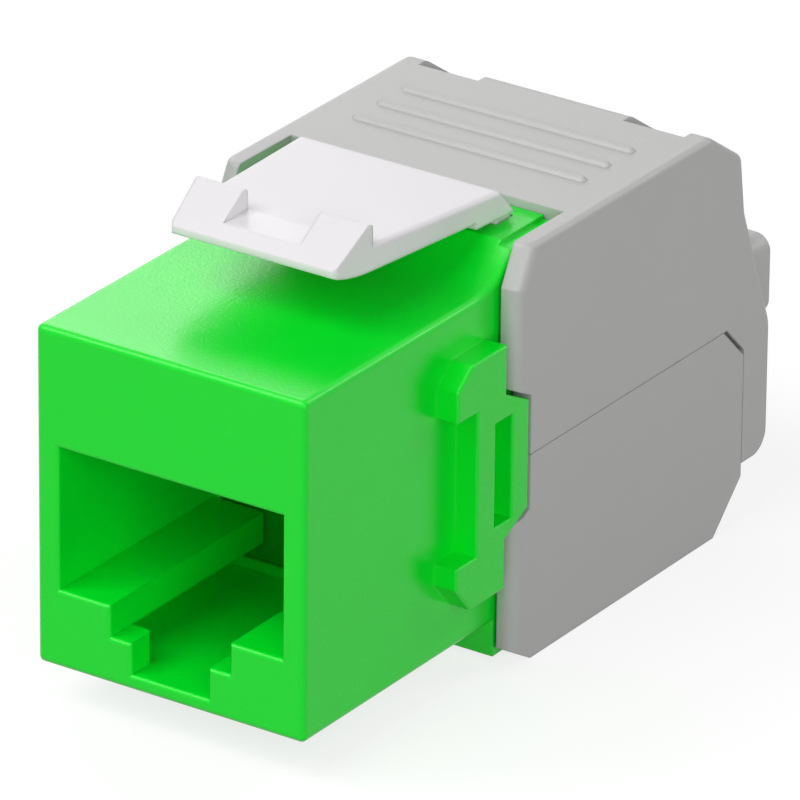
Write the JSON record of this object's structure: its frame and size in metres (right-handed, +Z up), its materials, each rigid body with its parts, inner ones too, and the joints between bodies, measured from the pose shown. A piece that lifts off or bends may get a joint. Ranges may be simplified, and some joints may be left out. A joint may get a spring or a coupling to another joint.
{
  "type": "keystone jack",
  "caption": "Snap-in keystone jack with a modular plug port, sprung panel latch, side stop ears and a press-on rear wire cap over insulation displacement terminals.",
  "frame": {"origin": "centre of the bounding box on the plane the jack stands on", "axes": "+X right as seen from the plug port, +Y from the plug port to the cable entry, +Z up to the latch"},
  "size_m": [0.0168, 0.0384, 0.0232],
  "materials": {
    "housing_plastic": "moulded, semi-gloss",
    "latch_plastic": "moulded, satin",
    "shell_plastic": "moulded, satin",
    "carrier_plastic": "moulded, satin",
    "board_laminate": "solder mask over laminate",
    "block_plastic": "moulded, satin",
    "contact_gold": "gold-plated, bright",
    "terminal_metal": "tin-plated"
  },
  "bodies": {
    "jack": {"front_housing": "housing_plastic", "rear_base": "shell_plastic", "contact_carrier": "carrier_plastic", "circuit_board": "board_laminate", "terminal_block": "block_plastic", "jack_contact_1": "contact_gold", "jack_contact_2": "contact_gold", "jack_contact_3": "contact_gold", "jack_contact_4": "contact_gold", "jack_contact_5": "contact_gold", "jack_contact_6": "contact_gold", "jack_contact_7": "contact_gold", "jack_contact_8": "contact_gold", "idc_terminal_1": "terminal_metal", "idc_terminal_2": "terminal_metal", "idc_terminal_3": "terminal_metal", "idc_terminal_4": "terminal_metal", "idc_terminal_5": "terminal_metal", "idc_terminal_6": "terminal_metal", "idc_terminal_7": "terminal_metal", "idc_terminal_8": "terminal_metal"},
    "latch": {"panel_latch": "latch_plastic"},
    "cap": {"wire_cap": "shell_plastic"}
  },
  "joints": [
    {"name": "latch_press", "type": "hinge", "parent": "jack", "child": "latch", "pos_m": [0, -0.0007, 0.01965], "axis": [1, 0, 0], "range_deg": [0, 10], "stiffness_Nm_per_rad": 0.05},
    {"name": "cap_lift", "type": "slide", "parent": "jack", "child": "cap", "axis": [0, 0, 1], "range_m": [0, 0.022]}
  ]
}
